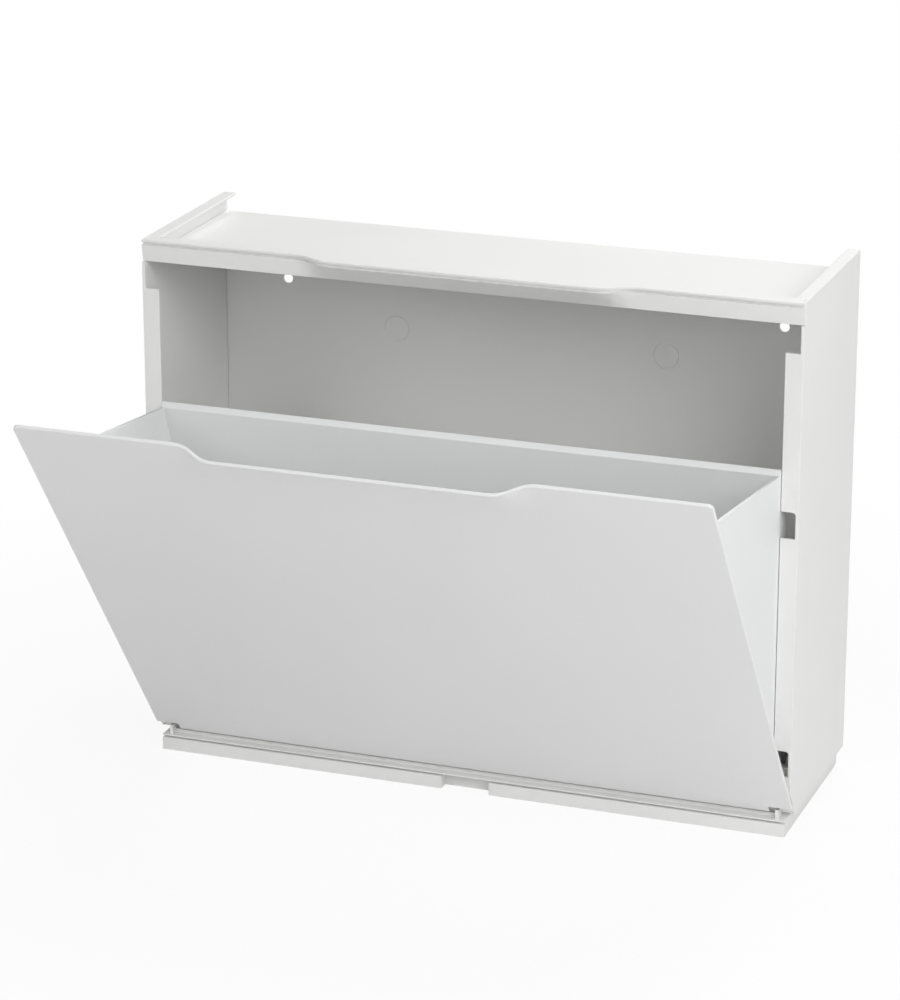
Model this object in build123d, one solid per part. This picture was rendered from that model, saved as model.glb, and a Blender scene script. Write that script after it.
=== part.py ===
"""Stackable tip-out shoe cabinet, one module: a moulded carcass and a flap with a bin.

Frame: X across the width, Y from front to back, Z up, in millimetres. The origin is on the
floor, in the middle of the carcass. The flap is drawn shut and then turned to its open stop.
"""
import os
from math import atan2, cos, degrees, radians, sin

from build123d import *

# Carcass
WIDTH = 510.0
DEPTH = 156.0
HEIGHT = 410.0
WALL = 2.5
BACK_T = 2.5
FIT = 0.2

# Flanges along the edges of each side panel
FLANGE_W = 13.5
FLANGE_T = 2.5
FLANGE_TOP_DROP = 37.5
REAR_FLANGE_W = 13.0
SEAT_W = 7.5

# Stacking rim on top, and the foot that slides into the rim of the module below
RIM_T = 2.0
RIM_W = 10.0
RIM_FRONT_W = 12.0
TOP_T = 2.0
TOP_COVE_R = 2.2
TOP_COVE_H = 0.8
FOOT_H = 12.5
FOOT_INSET = 5.0
STACK_GAP = 0.5
NECK_SPARE = 1.0

# Foot details
LEDGE_T = 4.0
SHELF_T = 2.5
SHELF_SETBACK = 3.5
FOOT_GAP_W = 38.0
FOOT_GAP_D = 9.0
RIB_T = 2.0
RIB_PITCH = 45.0
UPSTAND_SETBACK = 7.0
UPSTAND_LOW = 7.5
UPSTAND_HIGH = 17.5
UPSTAND_STEP = 25.0
UPSTAND_REAR_GAP = 1.0

# Front lip of the top, with a shadow line under its upper edge as on the foot
LIP_T = 4.0
LIP_LEAN = 2.4
LIP_EDGE_T = 2.0
LIP_SHADOW_H = 2.2
LIP_SHADOW_D = 2.8
FOOT_EDGE_T = 0.9
FOOT_SHADOW_H = 1.7
FOOT_SHADOW_D = 4.0

# Handle wave shared by the lip of the top and the upper edge of the flap
HANDLE_OUTER = 133.0
HANDLE_INNER = 100.0
LIP_BULGE = 11.0
FLARE = 12.0
FLARE_H = 45.0
FLARE_STEPS = 5

# Flap
FLAP_T = 3.0
FLAP_GAP = 1.5
FLAP_FOOT_GAP = 7.9
EAR_W = 18.0
EAR_RISE = 6.6
FLAP_TOP_RISE = 0.6
FLAP_CORNER_R = 4.0
OPEN_ANGLE = 36.65
SWING_GAP = 1.2

# Pivots and stops: studs on the cheeks that run behind the front flanges
STUD_R = 5.0
STUD_END_GAP = 2.0
STUD_FLANGE_GAP = 0.5
STUD_RUN_GAP = 0.05
SPIGOT_R = 4.0
STUD_HEAD_R = 6.0
STUD_HEAD_T = 1.5
PIVOT_Z = 40.0
STOP_RAIL_GAP = 1.7
NOTCH_H = 20.0
NOTCH_RISE = 20.0
NOTCH_CORNER_R = 2.4
BEARING_UNDER = 3.0
BEARING_REAR = 7.0
BEARING_RISE = 12.0
BEARING_SIDE_GAP = 0.3

# Bin behind the flap
CHEEK_T = 2.5
CHEEK_GAP = 0.4
BIN_WALL = 2.5
BIN_FRONT_TOP = 374.0
BIN_REAR_TOP = 242.3
BIN_REAR_GAP = 4.2
BIN_REAR_LEAN = 50.8
BIN_REAR_FOOT = 33.0
BIN_FRONT_FOOT = 24.0
BEAD_OUT = 1.7
BEAD_H = 6.0
BEAD_DROP = 2.9
FLOOR_T = 2.5
FLOOR_LIFT = 4.0
LEDGE_W = 6.0
RAIL_W = 12.0
RAIL_T = 5.0
RAIL_LOW = 52.0
RAIL_HIGH = 345.0
TAB_T = 2.5
REAR_RAIL_LOW = 25.0
REAR_RAIL_HIGH = 165.0

# Screws of the bin and pins of the carcass
SCREW_R = 1.5
SCREW_HEAD_R = 3.0
SCREW_HEAD_T = 2.0
SCREW_L = 6.5
SCREW_END = 18.0
SCREWS_PER_EDGE = 3
CROSS_L = 3.4
CROSS_W = 0.7
CROSS_D = 0.9
HOLE_GAP = 0.1
PIN_R = 2.5
PIN_HEAD_R = 3.4
PIN_HEAD_T = 1.5
PIN_BITE = 1.4
PIN_INSET = 30.0
BACK_PIN_LOW = 60.0
BACK_PIN_HIGH = 220.0

# Wall fixing holes and knock-outs in the back
WALL_HOLE_R = 4.0
WALL_HOLE_SPAN = 400.0
WALL_HOLE_Z = 346.5
KNOCKOUT_R = 10.0
KNOCKOUT_LINE = 1.4
KNOCKOUT_D = 1.0
KNOCKOUT_SPAN = 218.0
KNOCKOUT_Z = 314.8

# Levels and planes that follow from the sizes above
OVER = 1.0
HALF = WIDTH / 2
INNER = HALF - WALL
SLID = INNER - FIT
FRONT = -DEPTH / 2
BACK = DEPTH / 2
TOP_FLOOR = HEIGHT - RIM_T - STACK_GAP - FOOT_H
TOP_UNDER = TOP_FLOOR - TOP_T
NECK_TOP = FOOT_H + RIM_T + NECK_SPARE
SHELF_TOP = NECK_TOP + SHELF_T
FOOT_FRONT = FRONT + FOOT_INSET
NECK_FRONT = FRONT + RIM_FRONT_W + STACK_GAP
NECK_HALF = HALF - RIM_W - STACK_GAP
BACK_FACE = BACK - FLANGE_T - BACK_T
FLANGE_TOP = HEIGHT - FLANGE_TOP_DROP
FLANGE_EDGE = HALF - FLANGE_W
CHEEK_X = FLANGE_EDGE - CHEEK_GAP
CHEEK_IN = CHEEK_X - CHEEK_T
FLAP_IN = FRONT - FLAP_GAP
FLAP_OUT = FLAP_IN - FLAP_T
FLAP_LOW = FOOT_H + FLAP_FOOT_GAP
EAR_LOW = FLAP_LOW + EAR_RISE
FLAP_TOP = HEIGHT + FLAP_TOP_RISE
PIVOT_Y = FRONT + FLANGE_T + STUD_FLANGE_GAP + STUD_R
REAR_TOP = Vector(BACK_FACE - BIN_REAR_GAP, BIN_REAR_TOP)
REAR_FOOT = REAR_TOP - Vector(BIN_REAR_LEAN, BIN_REAR_TOP - BIN_REAR_FOOT)
REAR_TALL = (REAR_TOP - REAR_FOOT).length
REAR_UP = (REAR_TOP - REAR_FOOT).normalized()
REAR_OUT = Vector(REAR_UP.Y, -REAR_UP.X)
RAIL_FACE = REAR_FOOT - REAR_OUT * (BIN_WALL + RAIL_T)
PIVOT = Vector(PIVOT_Y, PIVOT_Z)
STOP_RAY = Vector(sin(radians(OPEN_ANGLE)), cos(radians(OPEN_ANGLE)))
STOP_REACH = (RAIL_FACE - PIVOT).dot(REAR_OUT) - STUD_HEAD_R - STOP_RAIL_GAP
STOP_ARM = STOP_REACH / STOP_RAY.dot(REAR_OUT)
STOP = PIVOT + STOP_RAY * STOP_ARM


def block(x0, x1, y0, y1, z0, z1):
    """Box between two corners."""
    return Pos((x0 + x1) / 2, (y0 + y1) / 2, (z0 + z1) / 2) * Box(x1 - x0, y1 - y0, z1 - z0)


def slab(points, x0, x1):
    """Plate across X with an outline of (y, z) points."""
    outline = Polyline(*points, close=True)
    return extrude(Plane.YZ.offset(x0) * make_face(outline.edges()), x1 - x0)


def rod_x(r, x0, x1, y, z):
    """Round bar along X."""
    return Pos((x0 + x1) / 2, y, z) * Rot(0, 90, 0) * Cylinder(r, abs(x1 - x0))


def rod_y(r, y0, y1, x, z):
    """Round bar along Y."""
    return Pos(x, (y0 + y1) / 2, z) * Rot(90, 0, 0) * Cylinder(r, abs(y1 - y0))


def rod_z(r, z0, z1, x, y):
    """Round bar along Z."""
    return Pos(x, y, (z0 + z1) / 2) * Cylinder(r, abs(z1 - z0))


def open_up(piece):
    """Turn a piece of the flap from shut to its open stop."""
    return Pos(0, PIVOT_Y, PIVOT_Z) * Rot(OPEN_ANGLE, 0, 0) * Pos(0, -PIVOT_Y, -PIVOT_Z) * piece


def other_side(piece):
    """Mirror image for the right-hand side."""
    return mirror(piece, about=Plane.YZ)


def wave_edges(half, y, bulge):
    """Line across the width that steps forward by bulge in the handle's stretch."""
    forward = y - bulge
    level = ((1, 0), (1, 0))
    return [
        Line((-half, y), (-HANDLE_OUTER, y)),
        Spline((-HANDLE_OUTER, y), (-HANDLE_INNER, forward), tangents=level),
        Line((-HANDLE_INNER, forward), (HANDLE_INNER, forward)),
        Spline((HANDLE_INNER, forward), (HANDLE_OUTER, y), tangents=level),
        Line((HANDLE_OUTER, y), (half, y)),
    ]


def wave_face(half, front, back, front_bulge, back_bulge, z):
    """Level strip between two wave lines."""
    ends = [Line((-half, front), (-half, back)), Line((half, front), (half, back))]
    edges = wave_edges(half, front, front_bulge) + wave_edges(half, back, back_bulge) + ends
    return Pos(0, 0, z) * make_face([e for line in edges for e in line.edges()])


def swing_cutter():
    """Everything that the ears of the open flap pass through at the lower front corners."""
    reach = FLAP_IN + SWING_GAP
    slope = block(-WIDTH, WIDTH, reach - DEPTH, reach, -HEIGHT, HEIGHT)
    return open_up(slope)


def pin_spots_y():
    """Front and rear pins along the edge of a side panel."""
    return (FRONT + RIM_FRONT_W + PIN_INSET, BACK_FACE - PIN_INSET)


def notch(z):
    """Cutter for a notch in the left front flange, with its upper outer corner rounded."""
    r = NOTCH_CORNER_R
    front, behind = FRONT - OVER, FRONT + FLANGE_T + OVER
    high = z + NOTCH_H / 2
    body = block(-INNER, -FLANGE_EDGE + OVER, front, behind, z - NOTCH_H / 2, high)
    corner = block(-INNER, -INNER + r, front, behind, high - r, high)
    corner -= rod_y(r, front - OVER, behind + OVER, -INNER + r, high - r)
    return body - corner


def side_panel():
    """Left side: wall, front and rear flanges, stacking rim, seats for the top and the shelf."""
    body = block(-HALF, -INNER, FRONT, BACK, NECK_TOP, HEIGHT)
    body += block(-HALF, -HALF + RIM_W, FRONT + RIM_FRONT_W, BACK, HEIGHT - RIM_T, HEIGHT)
    body += block(-HALF, -FLANGE_EDGE, FRONT, FRONT + FLANGE_T, NECK_TOP, FLANGE_TOP)
    body += block(-HALF, -HALF + REAR_FLANGE_W, BACK - FLANGE_T, BACK, SHELF_TOP, TOP_UNDER)
    seat = (-INNER, -INNER + SEAT_W, FRONT + RIM_FRONT_W, BACK_FACE)
    body += block(*seat, TOP_UNDER - WALL, TOP_UNDER)
    body += block(*seat, SHELF_TOP, SHELF_TOP + WALL)
    body -= block(-HALF - OVER, -INNER + OVER, FRONT - OVER, FRONT + LIP_T + FIT,
                  TOP_UNDER - FIT, HEIGHT + OVER)
    body -= notch(PIVOT_Z + NOTCH_RISE)
    body -= notch(PIVOT_Z + STOP_ARM + NOTCH_RISE)
    body -= swing_cutter()
    for hole in panel_pin_shanks(PIN_R + HOLE_GAP):
        body -= hole
    return body


def pin_x():
    """Pin line inside the left wall, halfway across the seats."""
    return -INNER + SEAT_W / 2


def panel_pin_shanks(r):
    """Shanks of the left-hand pins, also used as cutters with a larger radius."""
    shanks = []
    for y in pin_spots_y():
        shanks.append(rod_z(r, TOP_UNDER - WALL, TOP_UNDER + PIN_BITE, pin_x(), y))
        shanks.append(rod_z(r, SHELF_TOP - PIN_BITE, SHELF_TOP + WALL, pin_x(), y))
    for z in (BACK_PIN_LOW, BACK_PIN_HIGH):
        shanks.append(rod_y(r, BACK_FACE, BACK - FLANGE_T + PIN_BITE, pin_x(), z))
    return shanks


def panel_pins():
    """Push-in pins that hold the five carcass panels together."""
    pins = []
    shanks = panel_pin_shanks(PIN_R)
    heads = []
    for y in pin_spots_y():
        heads.append(rod_z(PIN_HEAD_R, TOP_UNDER - WALL - PIN_HEAD_T, TOP_UNDER - WALL, pin_x(), y))
        heads.append(rod_z(PIN_HEAD_R, SHELF_TOP + WALL, SHELF_TOP + WALL + PIN_HEAD_T, pin_x(), y))
    for z in (BACK_PIN_LOW, BACK_PIN_HIGH):
        heads.append(rod_y(PIN_HEAD_R, BACK_FACE - PIN_HEAD_T, BACK_FACE, pin_x(), z))
    for shank, head in zip(shanks, heads):
        pins.append(shank + head)
    return pins + [other_side(pin) for pin in pins]


def both_sides(cutters):
    """Cutters of the left-hand side with their mirror images."""
    return cutters + [other_side(cutter) for cutter in cutters]


def top_panel():
    """Top: recessed floor, front lip with the handle wave, front stretch of the rim."""
    shadow_low = HEIGHT - LIP_EDGE_T - LIP_SHADOW_H
    shadow_back = FRONT + LIP_SHADOW_D
    lip_back = FRONT + LIP_T
    rim_back = FRONT + RIM_FRONT_W
    body = block(-SLID, SLID, FRONT + LIP_LEAN + FIT, BACK, TOP_UNDER, TOP_FLOOR)
    low = wave_face(HALF, FRONT + LIP_LEAN, lip_back, 0, 0, TOP_UNDER)
    high = wave_face(HALF, FRONT, lip_back, LIP_BULGE, LIP_BULGE, shadow_low)
    body += loft([low, high], ruled=True)
    recess = wave_face(HALF, shadow_back, lip_back, LIP_BULGE, LIP_BULGE, shadow_low)
    body += extrude(recess, HEIGHT - shadow_low)
    edge = wave_face(HALF, FRONT, lip_back, LIP_BULGE, LIP_BULGE, HEIGHT - LIP_EDGE_T)
    body += extrude(edge, LIP_EDGE_T)
    rim = wave_face(SLID, shadow_back, rim_back, LIP_BULGE, 0, HEIGHT - RIM_T)
    body += extrude(rim, RIM_T)
    for side in (-1, 1):
        x0, x1 = sorted((side * SLID, side * (SLID - TOP_COVE_R)))
        cove = block(x0, x1, lip_back, BACK, TOP_FLOOR, TOP_FLOOR + TOP_COVE_H)
        cove -= rod_y(TOP_COVE_R, FRONT, BACK + OVER, side * (SLID - TOP_COVE_R), TOP_FLOOR + TOP_COVE_R)
        body += cove
    for hole in both_sides(panel_pin_shanks(PIN_R + HOLE_GAP)):
        body -= hole
    return body


def back_panel():
    """Back sheet with two wall fixing holes and two knock-outs."""
    body = block(-SLID, SLID, BACK_FACE, BACK - FLANGE_T, SHELF_TOP, TOP_UNDER)
    for side in (-1, 1):
        x = side * WALL_HOLE_SPAN / 2
        body -= rod_y(WALL_HOLE_R, BACK_FACE - OVER, BACK + OVER, x, WALL_HOLE_Z)
        x = side * KNOCKOUT_SPAN / 2
        line_back = BACK_FACE + KNOCKOUT_D
        ring = rod_y(KNOCKOUT_R + KNOCKOUT_LINE / 2, BACK_FACE - OVER, line_back, x, KNOCKOUT_Z)
        ring -= rod_y(KNOCKOUT_R - KNOCKOUT_LINE / 2, BACK_FACE - OVER, line_back, x, KNOCKOUT_Z)
        body -= ring
    for hole in both_sides(panel_pin_shanks(PIN_R + HOLE_GAP)):
        body -= hole
    return body


def base_panel():
    """Base: hollow foot, neck that the rim below grips, shelf plate, ribs and end walls."""
    foot_half = HALF - FOOT_INSET
    body = block(-foot_half, foot_half, FOOT_FRONT, BACK, 0, FOOT_H)
    body += block(-NECK_HALF, NECK_HALF, NECK_FRONT, BACK, FOOT_H, NECK_TOP)
    body += block(-SLID, SLID, NECK_FRONT + SHELF_SETBACK, BACK, NECK_TOP, SHELF_TOP)
    hollow = block(-foot_half + WALL, foot_half - WALL, FOOT_FRONT + WALL, BACK - WALL,
                   -OVER, FOOT_H - LEDGE_T)
    hollow += block(-NECK_HALF + WALL, NECK_HALF - WALL, NECK_FRONT + SHELF_SETBACK + WALL,
                    BACK - WALL, -OVER, NECK_TOP)
    body -= hollow
    ribs_each_way = int((NECK_HALF - WALL) / RIB_PITCH)
    rib_front = NECK_FRONT + SHELF_SETBACK
    for n in range(-ribs_each_way, ribs_each_way + 1):
        x = n * RIB_PITCH
        body += block(x - RIB_T / 2, x + RIB_T / 2, rib_front, BACK - WALL, 0, NECK_TOP)
    body += block(-NECK_HALF, NECK_HALF, -RIB_T / 2, RIB_T / 2, 0, NECK_TOP)
    gap = FOOT_GAP_W / 2
    gap_back = FOOT_FRONT + FOOT_GAP_D
    shadow_high = FOOT_H - FOOT_EDGE_T
    shadow_low = shadow_high - FOOT_SHADOW_H
    body += block(-gap - WALL, gap + WALL, FOOT_FRONT, gap_back + WALL, 0, FOOT_H)
    body -= block(-gap, gap, FOOT_FRONT - OVER, gap_back, -OVER, shadow_low)
    body -= block(-WIDTH, WIDTH, FOOT_FRONT - OVER, FOOT_FRONT + FOOT_SHADOW_D,
                  shadow_low, shadow_high)
    upstand_back = BACK_FACE - UPSTAND_REAR_GAP
    for side in (-1, 1):
        x0, x1 = sorted((side * NECK_HALF, side * (NECK_HALF - WALL)))
        body += block(x0, x1, FRONT + UPSTAND_SETBACK, upstand_back, FOOT_H, FOOT_H + UPSTAND_LOW)
        body += block(x0, x1, FRONT + UPSTAND_STEP, upstand_back, FOOT_H, FOOT_H + UPSTAND_HIGH)
    for hole in both_sides(panel_pin_shanks(PIN_R + HOLE_GAP)):
        body -= hole
    return body


def pivot_bearing():
    """Left saddle behind the front flange: the pivot stud drops in from the notch above it."""
    bore = STUD_R + STUD_RUN_GAP
    low = PIVOT_Z - STUD_R - BEARING_UNDER
    high = PIVOT_Z + BEARING_RISE
    behind = FRONT + FLANGE_T
    x_in = -FLANGE_EDGE - BEARING_SIDE_GAP
    body = block(-INNER, x_in, behind, PIVOT_Y + STUD_R + BEARING_REAR, low, high)
    body -= rod_x(bore, -HALF, -FLANGE_EDGE + OVER, PIVOT_Y, PIVOT_Z)
    body -= block(-HALF, -FLANGE_EDGE + OVER, behind - OVER, PIVOT_Y + bore, PIVOT_Z, high + OVER)
    body -= swing_cutter()
    return body


def stud(spot):
    """Left stud pressed through the cheek: shaft outside, spigot in the hole, head inside."""
    body = rod_x(STUD_R, -INNER + STUD_END_GAP, -CHEEK_X, spot.X, spot.Y)
    body += rod_x(SPIGOT_R, -CHEEK_X, -CHEEK_IN, spot.X, spot.Y)
    body += rod_x(STUD_HEAD_R, -CHEEK_IN, -CHEEK_IN + STUD_HEAD_T, spot.X, spot.Y)
    return body


def flare_share(n):
    """Share of the flare reached at step n of the handle, a parabola from the flat sheet."""
    return (n / FLARE_STEPS) ** 2


def flap_front():
    """Flap sheet with lowered middle, side ears, flared handle and rails for the cheeks."""
    flat_top = FLAP_TOP - FLARE_H
    body = block(-HALF, HALF, FLAP_OUT, FLAP_IN, EAR_LOW, flat_top)
    body += block(-HALF + EAR_W, HALF - EAR_W, FLAP_OUT, FLAP_IN, FLAP_LOW, flat_top)
    sections = []
    for n in range(FLARE_STEPS + 1):
        bulge = FLARE * flare_share(n)
        z = flat_top + FLARE_H * n / FLARE_STEPS
        sections.append(wave_face(HALF, FLAP_OUT, FLAP_IN, bulge, bulge, z))
    for low, high in zip(sections, sections[1:]):
        body += loft([low, high], ruled=True)
    r = FLAP_CORNER_R
    for side in (-1, 1):
        x0, x1 = sorted((side * (HALF - r), side * (HALF + OVER)))
        corner = block(x0, x1, FLAP_OUT - OVER, FLAP_IN + OVER, FLAP_TOP - r, FLAP_TOP + OVER)
        corner -= rod_y(r, FLAP_OUT - OVER, FLAP_IN + OVER, side * (HALF - r), FLAP_TOP - r)
        body -= corner
        x0, x1 = sorted((side * (CHEEK_IN - FIT), side * (CHEEK_IN - RAIL_W)))
        body += block(x0, x1, FLAP_IN, FLAP_IN + RAIL_T, RAIL_LOW, RAIL_HIGH)
    for hole in both_sides(front_screw_shanks(SCREW_R + HOLE_GAP)):
        body -= hole
    return body


def rear_point(along, inward):
    """Point (y, z) on the bin's sloping rear wall: along it from its foot, in from its back."""
    return REAR_FOOT + REAR_UP * along - REAR_OUT * inward


def floor_height(y):
    """Height of the cheek's lower edge at y."""
    foot = rear_point(0, BIN_WALL)
    share = (y - FLAP_IN) / (foot.X - FLAP_IN)
    return BIN_FRONT_FOOT + (foot.Y - BIN_FRONT_FOOT) * share


def floor_strip(low, high):
    """Outline (y, z) of a strip above the cheek's lower edge, from the flap to the rear wall."""
    rear = rear_point(0, BIN_WALL).X + low * REAR_UP.X / REAR_UP.Y
    return [
        (FLAP_IN, floor_height(FLAP_IN) + low),
        (rear, floor_height(rear) + low),
        (rear, floor_height(rear) + high),
        (FLAP_IN, floor_height(FLAP_IN) + high),
    ]


def screw_x():
    """Line of the left-hand screws, in the middle of the rails."""
    return -(CHEEK_IN - RAIL_W / 2)


def spread(low, high):
    """Screw spots along an edge, one near each end and the rest between."""
    step = (high - low - 2 * SCREW_END) / (SCREWS_PER_EDGE - 1)
    return [low + SCREW_END + step * n for n in range(SCREWS_PER_EDGE)]


def front_screw_shanks(r):
    """Shanks through the cheek's front tab into the flap's rail."""
    seat = FLAP_IN + RAIL_T + TAB_T
    return [rod_y(r, seat - SCREW_L, seat, screw_x(), z) for z in spread(RAIL_LOW, RAIL_HIGH)]


def rear_screw_place(along):
    """Location on the back of the rear wall with local Z pointing out of it."""
    spot = rear_point(along, 0)
    tilt = degrees(atan2(REAR_OUT.Y, REAR_OUT.X))
    return Pos(screw_x(), spot.X, spot.Y) * Rot(tilt, 0, 0) * Rot(-90, 0, 0)


def rear_screw_shanks(r):
    """Shanks through the rear wall into the cheek's rear rail."""
    shank = Pos(0, 0, -SCREW_L / 2) * Cylinder(r, SCREW_L)
    return [rear_screw_place(a) * shank for a in spread(REAR_RAIL_LOW, REAR_RAIL_HIGH)]


def screw():
    """Pan-head screw with a cross recess, head seated on the XY plane."""
    body = Pos(0, 0, -SCREW_L / 2) * Cylinder(SCREW_R, SCREW_L)
    body += Pos(0, 0, SCREW_HEAD_T / 2) * Cylinder(SCREW_HEAD_R, SCREW_HEAD_T)
    body = fillet(body.edges().filter_by(GeomType.CIRCLE).sort_by(Axis.Z)[-1:], SCREW_HEAD_T / 2)
    cut = Pos(0, 0, SCREW_HEAD_T - CROSS_D / 2)
    body -= cut * Box(CROSS_L, CROSS_W, CROSS_D)
    body -= cut * Box(CROSS_W, CROSS_L, CROSS_D)
    return body


def bin_screws():
    """All the screws of the bin."""
    seat = FLAP_IN + RAIL_T + TAB_T
    screws = [Pos(screw_x(), seat, z) * Rot(-90, 0, 0) * screw()
              for z in spread(RAIL_LOW, RAIL_HIGH)]
    screws += [rear_screw_place(a) * screw() for a in spread(REAR_RAIL_LOW, REAR_RAIL_HIGH)]
    return screws + [other_side(s) for s in screws]


def cheek():
    """Left cheek of the bin: plate, front tab, rear rail and floor ledge."""
    rear_top = rear_point(REAR_TALL - BEAD_DROP, BIN_WALL)
    rear_foot = rear_point(0, BIN_WALL)
    outline = [(FLAP_IN, BIN_FRONT_FOOT), rear_foot, rear_top, (FLAP_IN, BIN_FRONT_TOP)]
    body = slab(outline, -CHEEK_X, -CHEEK_IN)
    rail_front = FLAP_IN + RAIL_T
    body += block(-CHEEK_IN, -CHEEK_IN + RAIL_W, rail_front, rail_front + TAB_T, RAIL_LOW, RAIL_HIGH)
    rail = [rear_point(REAR_RAIL_LOW, BIN_WALL), rear_point(REAR_RAIL_HIGH, BIN_WALL),
            rear_point(REAR_RAIL_HIGH, BIN_WALL + RAIL_T), rear_point(REAR_RAIL_LOW, BIN_WALL + RAIL_T)]
    body += slab(rail, -CHEEK_IN, -CHEEK_IN + RAIL_W)
    body += slab(floor_strip(FLOOR_LIFT - FLOOR_T, FLOOR_LIFT), -CHEEK_IN, -CHEEK_IN + LEDGE_W)
    for spot in (PIVOT, STOP):
        body -= rod_x(SPIGOT_R + STUD_RUN_GAP, -CHEEK_X - OVER, -CHEEK_IN + OVER, spot.X, spot.Y)
    for hole in front_screw_shanks(SCREW_R + HOLE_GAP) + rear_screw_shanks(SCREW_R + HOLE_GAP):
        body -= hole
    return body


def bin_back():
    """Sloping rear wall of the bin with a bead along its upper edge, which slopes to the front."""
    bead_low = REAR_TALL - BEAD_H
    outline = [rear_point(0, 0), rear_point(bead_low, 0), rear_point(bead_low + BEAD_OUT, -BEAD_OUT),
               rear_point(REAR_TALL, -BEAD_OUT), rear_point(REAR_TALL - BEAD_DROP, BIN_WALL),
               rear_point(0, BIN_WALL)]
    body = slab(outline, -CHEEK_X, CHEEK_X)
    for hole in both_sides(rear_screw_shanks(SCREW_R + HOLE_GAP)):
        body -= hole
    return body


def bin_floor():
    """Floor of the bin, resting on the cheeks' ledges."""
    return slab(floor_strip(FLOOR_LIFT, FLOOR_LIFT + FLOOR_T), -CHEEK_IN + FIT, CHEEK_IN - FIT)


def build():
    """All nodes by name, at rest with the flap open."""
    left = side_panel()
    bearing = pivot_bearing()
    left_cheek = open_up(cheek())
    left_pivot = open_up(stud(PIVOT))
    left_stop = open_up(stud(STOP))
    return {
        "left_side": left,
        "right_side": other_side(left),
        "top_panel": top_panel(),
        "back_panel": back_panel(),
        "base_panel": base_panel(),
        "panel_pins": Compound(children=panel_pins()),
        "left_pivot_bearing": bearing,
        "right_pivot_bearing": other_side(bearing),
        "flap_front": open_up(flap_front()),
        "left_cheek": left_cheek,
        "right_cheek": other_side(left_cheek),
        "bin_back": open_up(bin_back()),
        "bin_floor": open_up(bin_floor()),
        "left_pivot_stud": left_pivot,
        "right_pivot_stud": other_side(left_pivot),
        "left_stop_stud": left_stop,
        "right_stop_stud": other_side(left_stop),
        "bin_screws": Compound(children=[open_up(s) for s in bin_screws()]),
    }


os.makedirs("parts", exist_ok=True)
for name, shape in build().items():
    export_step(shape, os.path.join("parts", name + ".step"))
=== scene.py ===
"""Looks of a stackable tip-out shoe cabinet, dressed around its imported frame.

The frame gives every panel at its real size, in metres. This script rounds the moulded edges,
gives each moulding its finish, and sets the studio, the light and the camera.
"""

from __future__ import annotations

import logging
import math
from abc import ABC, abstractmethod
from dataclasses import dataclass
from enum import Enum
from functools import cached_property

import bpy
from mathutils import Matrix, Vector


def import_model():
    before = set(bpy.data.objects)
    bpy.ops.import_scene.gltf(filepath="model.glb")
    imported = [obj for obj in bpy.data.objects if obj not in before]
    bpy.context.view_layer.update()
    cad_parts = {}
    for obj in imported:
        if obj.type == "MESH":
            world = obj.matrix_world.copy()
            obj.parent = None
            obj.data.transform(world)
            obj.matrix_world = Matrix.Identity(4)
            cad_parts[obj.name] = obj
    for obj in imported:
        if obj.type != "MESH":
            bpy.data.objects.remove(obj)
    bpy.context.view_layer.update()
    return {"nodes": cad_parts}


LOG = logging.getLogger("shoe_cabinet")
Point = tuple[float, float, float]
MM = 0.001
SIDES = ("left", "right")

# Points of a solid that are this close become one, and so do faces that meet this flat.
WELD_MM = 0.001
FLAT_DEG = 0.5
# Edges that turn by more than this are rounded, in this many steps.
SHARP_DEG = 35.0
EDGE_STEPS = 2
# Most values of Blender's noise lie between these two.
NOISE_LOW = 0.3
NOISE_HIGH = 0.7


class Slot(Enum):
    """Material slots of the record."""

    CARCASS = "carcass"
    FLAP = "flap"
    BIN = "bin"
    FITTINGS = "fittings"
    SCREWS = "screws"


def linear(hex_colour: str) -> tuple[float, float, float, float]:
    """Turn an sRGB hex colour into linear RGBA, by the two branches of the sRGB standard.

    Args:
        hex_colour: Six hex digits after a hash sign.

    Returns:
        Linear red, green and blue, and an alpha of one.
    """
    digits = hex_colour.lstrip("#")
    channels = []
    for start in (0, 2, 4):
        value = int(digits[start:start + 2], 16) / 255
        channels.append(value / 12.92 if value <= 0.04045 else ((value + 0.055) / 1.055) ** 2.4)
    return (*channels, 1.0)


def add_node(
    tree: bpy.types.NodeTree,
    kind: str,
    links: dict[str | int, bpy.types.NodeSocket] | None = None,
    sockets: dict[str, object] | None = None,
    **settings: object,
) -> bpy.types.Node:
    """Add a shader node with its settings and the links into it.

    Args:
        tree: Node tree that takes the node.
        kind: Blender's name of the node type.
        links: Output sockets by the name or number of the input that they feed.
        sockets: Plain values by the name of the input that they set.
        settings: Properties of the node itself.

    Returns:
        The new node.
    """
    node = tree.nodes.new(kind)
    for name, value in settings.items():
        setattr(node, name, value)
    for name, value in (sockets or {}).items():
        node.inputs[name].default_value = value
    for name, source in (links or {}).items():
        tree.links.new(source, node.inputs[name])
    return node


def empty_tree(owner: bpy.types.Material | bpy.types.World) -> bpy.types.NodeTree:
    """Give a material or a world a node tree with nothing in it.

    Args:
        owner: Material or world that takes the tree.

    Returns:
        The empty tree.
    """
    owner.use_nodes = True
    owner.node_tree.nodes.clear()
    return owner.node_tree


def put_in_scene(
    name: str, data: bpy.types.Mesh | bpy.types.Light | bpy.types.Camera
) -> bpy.types.Object:
    """Make an object and link it into the scene.

    Args:
        name: Name of the object.
        data: Mesh, lamp or camera that the object holds.

    Returns:
        The new object.
    """
    holder = bpy.data.objects.new(name, data)
    bpy.context.scene.collection.objects.link(holder)
    return holder


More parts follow.
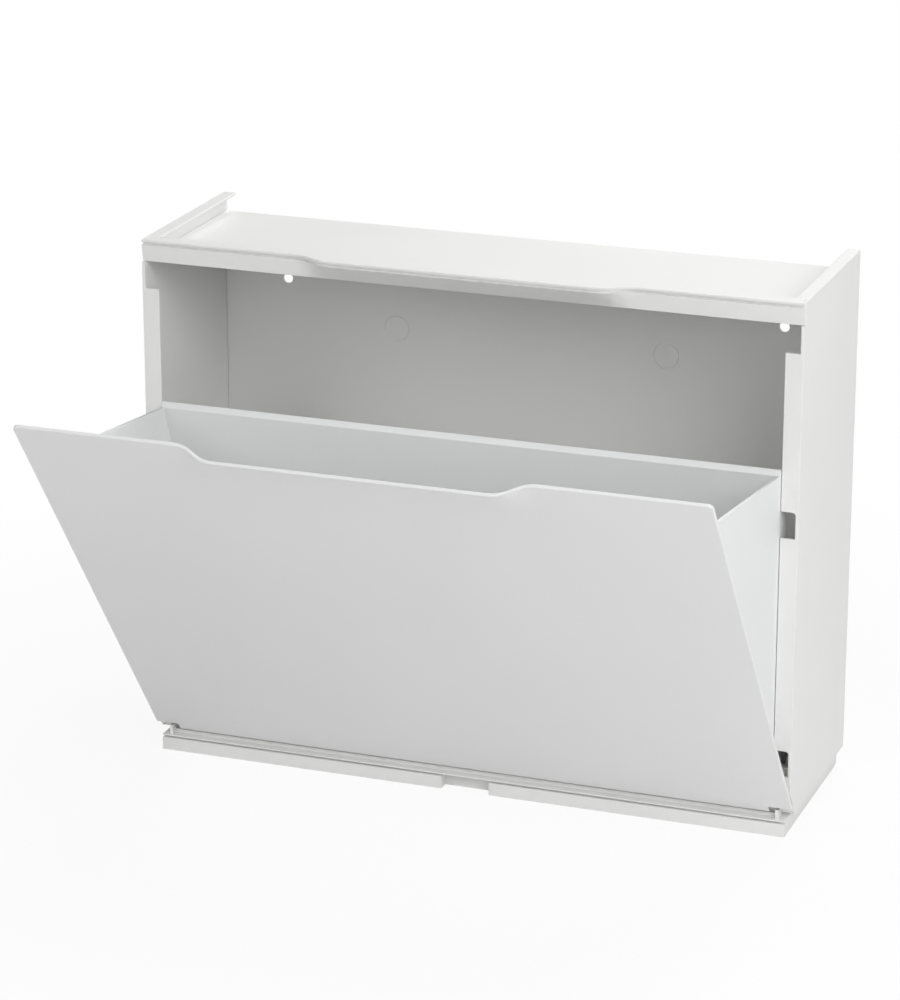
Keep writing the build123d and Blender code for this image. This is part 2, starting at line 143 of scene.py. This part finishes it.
@dataclass(frozen=True)
class Finish(ABC):
    """What a surface is made of and how it was made."""

    name: str
    colour: str
    roughness: float

    @cached_property
    def material(self) -> bpy.types.Material:
        """Make the finish as a Blender material, at its first use.

        Returns:
            The material.
        """
        material = bpy.data.materials.new(self.name)
        self._shade(empty_tree(material))
        return material

    @abstractmethod
    def _shade(self, tree: bpy.types.NodeTree) -> None:
        """Add the nodes of the finish.

        Args:
            tree: Empty node tree of the new material.
        """


@dataclass(frozen=True)
class MouldedPlastic(Finish):
    """A thermoplastic that was injection moulded in a tool with a fine spark-eroded face.

    The tool's texture gives a soft satin gloss. The melt's flow gives broad, faint patches that
    differ a little in gloss and in tone.
    """

    flow_colour: str
    gloss_drift: float
    ior: float
    flow_mm: float
    grain_mm: float
    grain_depth_mm: float

    def _shade(self, tree: bpy.types.NodeTree) -> None:
        """Add the flow patches and the grain of the tool to a dielectric.

        Args:
            tree: Empty node tree of the new material.
        """
        place = add_node(tree, "ShaderNodeTexCoord").outputs["Object"]
        flow = add_node(
            tree, "ShaderNodeTexNoise", {"Vector": place},
            {"Scale": 1 / (self.flow_mm * MM), "Detail": 2.0, "Roughness": 0.4},
        ).outputs["Fac"]
        grain = add_node(
            tree, "ShaderNodeTexNoise", {"Vector": place},
            {"Scale": 1 / (self.grain_mm * MM), "Detail": 3.0, "Roughness": 0.55},
        ).outputs["Fac"]
        tone = add_node(
            tree, "ShaderNodeMix", {"Factor": flow},
            {"A": linear(self.colour), "B": linear(self.flow_colour)}, data_type="RGBA",
        ).outputs["Result"]
        gloss = add_node(
            tree, "ShaderNodeMapRange", {"Value": flow},
            {"From Min": NOISE_LOW, "From Max": NOISE_HIGH,
             "To Min": self.roughness - self.gloss_drift,
             "To Max": self.roughness + self.gloss_drift},
        ).outputs["Result"]
        relief = add_node(
            tree, "ShaderNodeBump", {"Height": grain},
            {"Strength": 1.0, "Distance": self.grain_depth_mm * MM},
        ).outputs["Normal"]
        surface = add_node(
            tree, "ShaderNodeBsdfPrincipled",
            {"Base Color": tone, "Roughness": gloss, "Normal": relief},
            {"IOR": self.ior},
        ).outputs["BSDF"]
        add_node(tree, "ShaderNodeOutputMaterial", {"Surface": surface})


@dataclass(frozen=True)
class PlatedSteel(Finish):
    """Steel wire, cold headed and bright zinc plated: a grey metal with a faint blotchy haze."""

    haze_colour: str
    haze_mm: float

    def _shade(self, tree: bpy.types.NodeTree) -> None:
        """Add the haze of the plating to a metal.

        Args:
            tree: Empty node tree of the new material.
        """
        place = add_node(tree, "ShaderNodeTexCoord").outputs["Object"]
        haze = add_node(
            tree, "ShaderNodeTexNoise", {"Vector": place},
            {"Scale": 1 / (self.haze_mm * MM), "Detail": 2.0},
        ).outputs["Fac"]
        tone = add_node(
            tree, "ShaderNodeMix", {"Factor": haze},
            {"A": linear(self.colour), "B": linear(self.haze_colour)}, data_type="RGBA",
        ).outputs["Result"]
        surface = add_node(
            tree, "ShaderNodeBsdfPrincipled", {"Base Color": tone},
            {"Metallic": 1.0, "Roughness": self.roughness},
        ).outputs["BSDF"]
        add_node(tree, "ShaderNodeOutputMaterial", {"Surface": surface})


# Polypropylene of the carcass: a white pigment and a satin tool face, so it looks soft and even.
# The real grain of all these plastics is about a tenth of a millimetre, too fine to show, so it is
# drawn coarser.
PANEL_POLYPROPYLENE = MouldedPlastic(
    name="polypropylene_moulded_panel", colour="#F5F5F4", flow_colour="#F3F3F2", roughness=0.55,
    gloss_drift=0.04, ior=1.49, flow_mm=85.0, grain_mm=0.8, grain_depth_mm=0.012,
)
# Polypropylene of the flap: a finer tool face, so the sheet looks a little smoother and glossier.
FLAP_POLYPROPYLENE = MouldedPlastic(
    name="polypropylene_moulded_flap", colour="#F5F5F5", flow_colour="#F3F3F3", roughness=0.48,
    gloss_drift=0.04, ior=1.49, flow_mm=120.0, grain_mm=0.8, grain_depth_mm=0.008,
)
# Polypropylene of the bin: as satin as the carcass, and a touch cooler.
BIN_POLYPROPYLENE = MouldedPlastic(
    name="polypropylene_moulded_bin", colour="#F4F5F5", flow_colour="#F2F3F3", roughness=0.55,
    gloss_drift=0.04, ior=1.49, flow_mm=70.0, grain_mm=0.8, grain_depth_mm=0.012,
)
# Acetal fittings: harder and a little creamier, with a slippery gloss.
FITTING_ACETAL = MouldedPlastic(
    name="acetal_moulded_fitting", colour="#E6E5E0", flow_colour="#E2E1DC", roughness=0.3,
    gloss_drift=0.03, ior=1.48, flow_mm=12.0, grain_mm=0.6, grain_depth_mm=0.004,
)
# Zinc plated screws: a cool grey shine, blurred by the plating.
SCREW_STEEL = PlatedSteel(
    name="steel_zinc_plated_screw", colour="#C9CBCE", haze_colour="#B4B7BB", roughness=0.28,
    haze_mm=1.5,
)


@dataclass(frozen=True)
class Moulding:
    """One node of the frame with its finish and the radius of its moulded edges."""

    node: str
    slot: Slot
    finish: Finish
    edge_mm: float
    joins_flats: bool = True

    def dress(self, nodes: dict[str, bpy.types.Object]) -> None:
        """Round the edges of the node and give it its finish.

        Args:
            nodes: The frame's nodes by name.
        """
        piece = nodes[self.node]
        piece.data.materials.clear()
        piece.data.materials.append(self.finish.material)
        weld = piece.modifiers.new("weld_seams", "WELD")
        weld.merge_threshold = WELD_MM * MM
        if self.joins_flats:
            flat = piece.modifiers.new("join_flats", "DECIMATE")
            flat.decimate_type = "DISSOLVE"
            flat.angle_limit = math.radians(FLAT_DEG)
        edge = piece.modifiers.new("moulded_edges", "BEVEL")
        edge.width = self.edge_mm * MM
        edge.segments = EDGE_STEPS
        edge.limit_method = "ANGLE"
        edge.angle_limit = math.radians(SHARP_DEG)
        edge.use_clamp_overlap = False
        edge.miter_outer = "MITER_ARC"
        piece.modifiers.new("even_shading", "WEIGHTED_NORMAL")
        LOG.info("dressed %s with %s", self.node, self.finish.name)


class SubAssembly(ABC):
    """A body of the cabinet and the mouldings that move with it."""

    @abstractmethod
    def mouldings(self) -> list[Moulding]:
        """List the body's nodes with their finishes."""

    def dress(self, nodes: dict[str, bpy.types.Object]) -> None:
        """Dress every node of the body.

        Args:
            nodes: The frame's nodes by name.
        """
        for moulding in self.mouldings():
            moulding.dress(nodes)


@dataclass
class Carcass(SubAssembly):
    """The fixed body: two sides, top, back and base, with the pins and saddles that join them."""

    edge_mm: float = 0.6
    shadow_edge_mm: float = 0.3
    sheet_edge_mm: float = 0.3
    fitting_edge_mm: float = 0.3

    def mouldings(self) -> list[Moulding]:
        """List the carcass's nodes with their finishes.

        Returns:
            The mouldings, in the order in which they are dressed.
        """
        panel = (Slot.CARCASS, PANEL_POLYPROPYLENE)
        fitting = (Slot.FITTINGS, FITTING_ACETAL, self.fitting_edge_mm)
        return [
            *(Moulding(f"{side}_side", *panel, self.edge_mm) for side in SIDES),
            Moulding("top_panel", *panel, self.shadow_edge_mm),
            Moulding("base_panel", *panel, self.shadow_edge_mm, joins_flats=False),
            Moulding("back_panel", *panel, self.sheet_edge_mm),
            Moulding("panel_pins", *fitting),
            *(Moulding(f"{side}_pivot_bearing", *fitting) for side in SIDES),
        ]


@dataclass
class TipOutFlap(SubAssembly):
    """The moving body: flap, bin and the studs and screws that carry and join them."""

    flap_edge_mm: float = 0.8
    bin_edge_mm: float = 0.5
    fitting_edge_mm: float = 0.3
    screw_edge_mm: float = 0.1

    def mouldings(self) -> list[Moulding]:
        """List the flap's nodes with their finishes.

        Returns:
            The mouldings, in the order in which they are dressed.
        """
        wall = (Slot.BIN, BIN_POLYPROPYLENE, self.bin_edge_mm)
        fitting = (Slot.FITTINGS, FITTING_ACETAL, self.fitting_edge_mm)
        walls = ("left_cheek", "right_cheek", "bin_back", "bin_floor")
        studs = [f"{side}_{kind}_stud" for side in SIDES for kind in ("pivot", "stop")]
        return [
            Moulding("flap_front", Slot.FLAP, FLAP_POLYPROPYLENE, self.flap_edge_mm),
            *(Moulding(name, *wall) for name in walls),
            *(Moulding(name, *fitting) for name in studs),
            Moulding("bin_screws", Slot.SCREWS, SCREW_STEEL, self.screw_edge_mm),
        ]


@dataclass(frozen=True)
class SoftBox:
    """A rectangular studio soft box: how bright it is, where it hangs and what it aims at."""

    name: str
    power_w: float
    at_m: Point
    aim_m: Point
    width_m: float = 1.0
    height_m: float = 1.0

    def hang(self) -> None:
        """Hang the soft box in the scene."""
        lamp = bpy.data.lights.new(self.name, "AREA")
        lamp.shape = "RECTANGLE"
        lamp.size = self.width_m
        lamp.size_y = self.height_m
        lamp.energy = self.power_w
        holder = put_in_scene(self.name, lamp)
        ahead = Vector(self.aim_m) - Vector(self.at_m)
        holder.location = self.at_m
        holder.rotation_euler = ahead.to_track_quat("-Z", "Y").to_euler()


SOFT_BOXES = (
    SoftBox("box_overhead", 18.4, at_m=(0.2, 0.7, 1.7), aim_m=(0.0, 0.0, 0.3), width_m=1.4),
    SoftBox(
        "box_front", 5.1, at_m=(0.0, -2.4, 0.8), aim_m=(0.0, 0.0, 0.2), width_m=1.4, height_m=0.8,
    ),
    SoftBox("box_front_left", 9.5, at_m=(-1.2, -1.4, 1.3), aim_m=(0.0, 0.0, 0.1)),
    SoftBox("box_front_right", 15.0, at_m=(1.2, -1.4, 1.3), aim_m=(0.0, 0.0, 0.1)),
    SoftBox("box_right", 6.2, at_m=(1.5, -0.3, 1.0), aim_m=(0.0, 0.0, 0.1)),
)


@dataclass
class Studio:
    """A white studio: a wide pale floor, a faint even surround and soft boxes round the object."""

    floor_half_m: float = 30.0
    floor_colour: str = "#F2F2F2"
    glow_colour: str = "#FFFFFF"
    near_glow: float = 0.9
    shadow_near_m: float = 0.35
    shadow_far_m: float = 0.75
    surround_colour: str = "#FFFFFF"
    surround_strength: float = 0.06
    boxes: tuple[SoftBox, ...] = SOFT_BOXES

    def build(self) -> None:
        """Build the floor, the surround and the soft boxes."""
        self._floor()
        self._surround()
        for box in self.boxes:
            box.hang()

    def _floor(self) -> None:
        """Lay the floor under the object."""
        half = self.floor_half_m
        mesh = bpy.data.meshes.new("studio_floor")
        corners = [(-half, -half, 0), (half, -half, 0), (half, half, 0), (-half, half, 0)]
        mesh.from_pydata(corners, [], [(0, 1, 2, 3)])
        mesh.materials.append(self._paper())
        floor = put_in_scene("studio_floor", mesh)

    def _paper(self) -> bpy.types.Material:
        """Make a paper that looks white to the camera and still takes a shadow near the object.

        Returns:
            The floor's material.
        """
        material = bpy.data.materials.new("studio_floor_paper")
        tree = empty_tree(material)
        paper = add_node(
            tree, "ShaderNodeBsdfDiffuse", sockets={"Color": linear(self.floor_colour)},
        ).outputs["BSDF"]
        glow = add_node(
            tree, "ShaderNodeEmission",
            sockets={"Color": linear(self.glow_colour), "Strength": 1.0},
        ).outputs["Emission"]
        place = add_node(tree, "ShaderNodeTexCoord").outputs["Object"]
        away = add_node(
            tree, "ShaderNodeVectorMath", {0: place}, operation="LENGTH",
        ).outputs["Value"]
        share = add_node(
            tree, "ShaderNodeMapRange", {"Value": away},
            {"From Min": self.shadow_near_m, "From Max": self.shadow_far_m,
             "To Min": self.near_glow, "To Max": 1.0},
        ).outputs["Result"]
        seen_paper = add_node(
            tree, "ShaderNodeMixShader", {"Fac": share, 1: paper, 2: glow},
        ).outputs["Shader"]
        path = add_node(tree, "ShaderNodeLightPath").outputs
        seen_again = add_node(
            tree, "ShaderNodeMath",
            {0: path["Is Glossy Ray"], 1: path["Is Transmission Ray"]}, operation="MAXIMUM",
        ).outputs["Value"]
        seen = add_node(
            tree, "ShaderNodeMath", {0: path["Is Camera Ray"], 1: seen_again},
            operation="MAXIMUM",
        ).outputs["Value"]
        surface = add_node(
            tree, "ShaderNodeMixShader", {"Fac": seen, 1: paper, 2: seen_paper},
        ).outputs["Shader"]
        add_node(tree, "ShaderNodeOutputMaterial", {"Surface": surface})
        return material

    def _surround(self) -> None:
        """Fill the room with even light."""
        world = bpy.data.worlds.new("studio_surround")
        tree = empty_tree(world)
        light = add_node(
            tree, "ShaderNodeBackground",
            sockets={"Color": linear(self.surround_colour), "Strength": self.surround_strength},
        ).outputs["Background"]
        add_node(tree, "ShaderNodeOutputWorld", {"Surface": light})
        bpy.context.scene.world = world


@dataclass
class PhotographView:
    """The camera's place, worked out from the cabinet's edges in the photograph."""

    azimuth_deg: float = 20.11
    elevation_deg: float = 18.635
    roll_deg: float = 0.02
    distance_m: float = 2.9354
    target_m: Point = (-0.0388, 0.0, 0.20579)
    lens_mm: float = 154.36
    sensor_mm: float = 36.0
    sees_to_m: float = 100.0

    def build(self) -> None:
        """Set up the camera."""
        azimuth = math.radians(self.azimuth_deg)
        elevation = math.radians(self.elevation_deg)
        roll = math.radians(self.roll_deg)
        ahead = Vector((
            -math.sin(azimuth) * math.cos(elevation),
            math.cos(azimuth) * math.cos(elevation),
            -math.sin(elevation),
        ))
        level = ahead.cross(Vector((0, 0, 1))).normalized()
        upright = level.cross(ahead)
        right = math.cos(roll) * level + math.sin(roll) * upright
        up = math.cos(roll) * upright - math.sin(roll) * level
        eye = Vector(self.target_m) - self.distance_m * ahead
        turn = Matrix((right, up, -ahead)).transposed().to_4x4()
        lens = bpy.data.cameras.new("photograph_view")
        lens.sensor_fit = "HORIZONTAL"
        lens.sensor_width = self.sensor_mm
        lens.lens = self.lens_mm
        lens.clip_end = self.sees_to_m
        camera = put_in_scene("photograph_view", lens)
        camera.matrix_world = Matrix.Translation(eye) @ turn
        bpy.context.scene.camera = camera


def main() -> None:
    """Build the cabinet's looks."""
    logging.basicConfig(level=logging.INFO, format="%(name)s: %(message)s")
    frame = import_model()
    Carcass().dress(frame["nodes"])
    TipOutFlap().dress(frame["nodes"])
    Studio().build()
    PhotographView().build()
    bpy.context.scene.view_settings.view_transform = "Standard"


if __name__ == "__main__":
    main()
